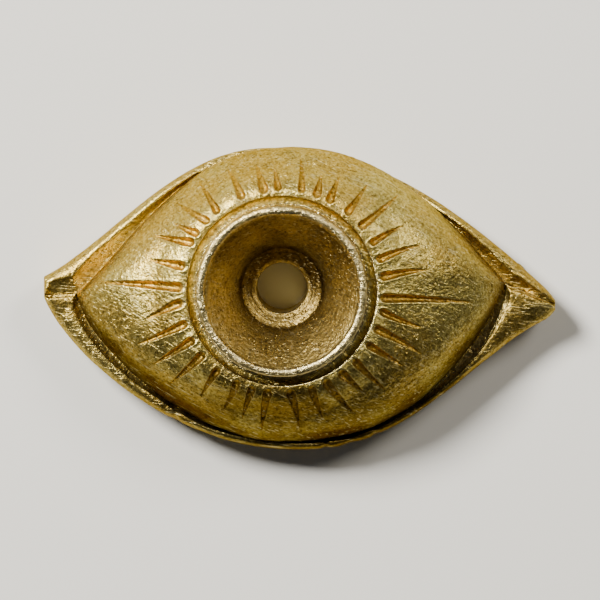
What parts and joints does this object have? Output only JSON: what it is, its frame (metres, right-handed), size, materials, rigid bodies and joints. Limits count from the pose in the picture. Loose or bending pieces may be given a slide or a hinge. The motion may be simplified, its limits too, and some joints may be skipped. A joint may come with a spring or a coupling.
{
  "type": "evil eye ornament",
  "caption": "Almond eye ornament in cast metal: domed eyeball with chased lashes, two lid strips, a turned iris cup with a through bore, and a flat back plate.",
  "frame": {"origin": "centre of the through bore at the flat back face", "axes": "+Z out of the front of the eye along the bore, +X towards the narrow right tip, +Y towards the upper lid"},
  "size_m": [0.0537, 0.0319, 0.014],
  "materials": {
    "back": "dull cast brass with traces of gilding",
    "dome": "pale worn cast brass, gilding kept in the recesses",
    "lids": "pale worn cast brass, gilding kept in the channels",
    "cup": "turned and gilt brass, worn pale on the rim",
    "nut": "dark aged brass"
  },
  "bodies": {
    "root": {"back_plate": "back", "eye_dome": "dome", "upper_lid": "lids", "lower_lid": "lids", "iris_cup": "cup", "ring_nut": "nut"}
  },
  "joints": []
}
